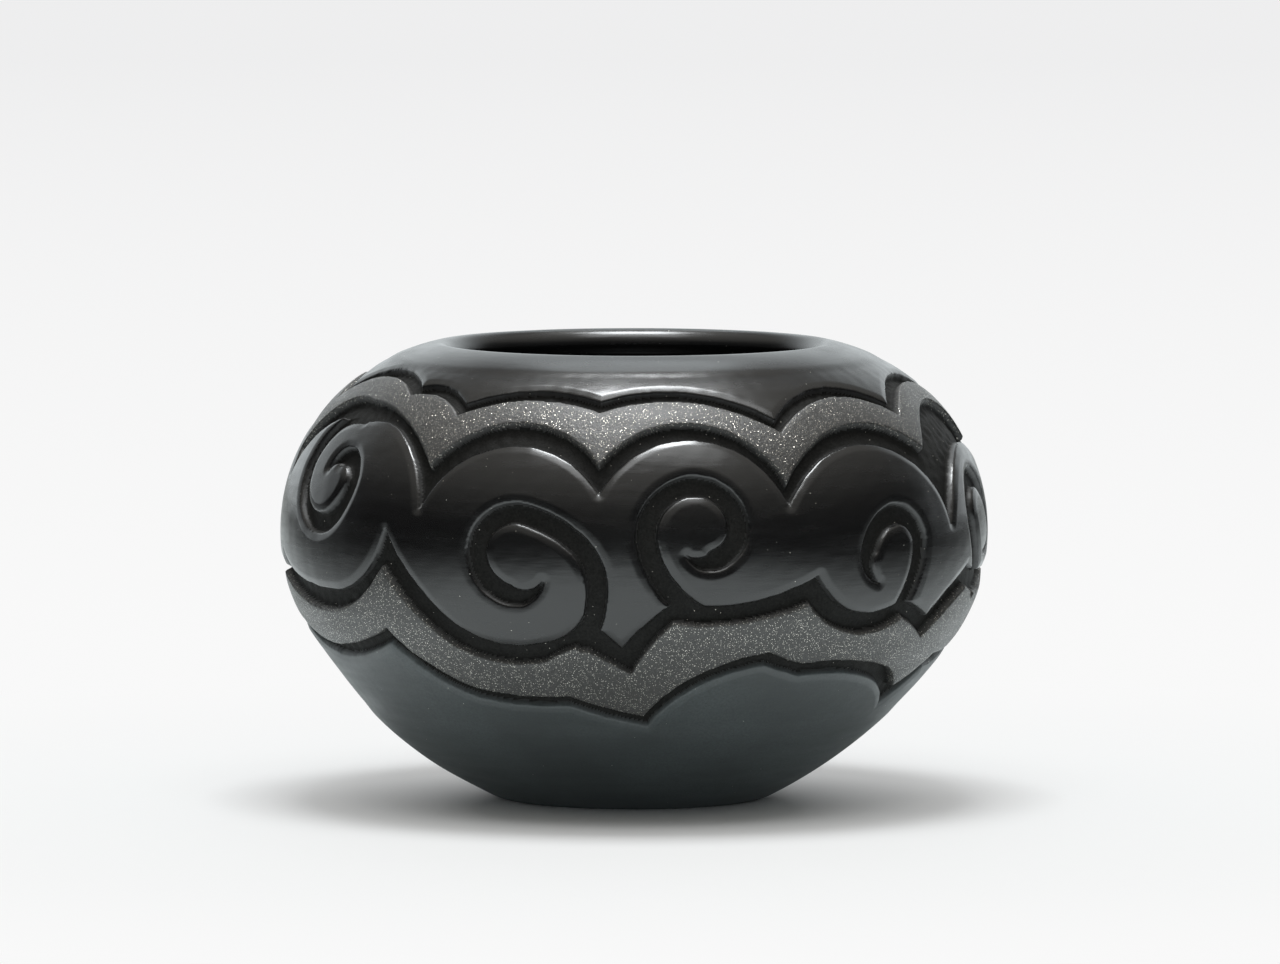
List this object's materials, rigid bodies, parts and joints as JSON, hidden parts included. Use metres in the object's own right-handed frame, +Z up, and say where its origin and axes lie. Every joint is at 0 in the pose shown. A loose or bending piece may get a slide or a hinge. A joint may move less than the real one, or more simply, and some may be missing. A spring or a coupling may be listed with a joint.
{
  "type": "pueblo pottery jar",
  "caption": "Squat round blackware jar with an open mouth and a rolled-in lip, carved through its outer skin with scrolls between matte and polished bands.",
  "frame": {"origin": "middle of the foot's resting face", "axes": "+Z up along the jar's axis, through the mouth; -Y towards the viewer of the picture, +X to the viewer's right"},
  "size_m": [0.2272, 0.2272, 0.146],
  "materials": {
    "polished_slip": "stone-burnished black slip, near gloss",
    "matte_slip": "unburnished black slip, sandy matte with mica flecks",
    "fired_clay": "smoke-blackened fired clay, matte"
  },
  "bodies": {
    "root": {"base_pat": "polished_slip", "bowl_coil_1": "fired_clay", "bowl_coil_2": "fired_clay", "belly_coil_1": "fired_clay", "belly_coil_2": "fired_clay", "belly_coil_3": "fired_clay", "belly_coil_4": "fired_clay", "belly_coil_5": "fired_clay", "shoulder_coil_1": "fired_clay", "shoulder_coil_2": "fired_clay", "rim_coil": "polished_slip", "bowl_field": "polished_slip", "lower_ribbon": "matte_slip", "scroll_band": "polished_slip", "upper_ribbon": "matte_slip", "shoulder_field": "polished_slip"}
  },
  "joints": []
}
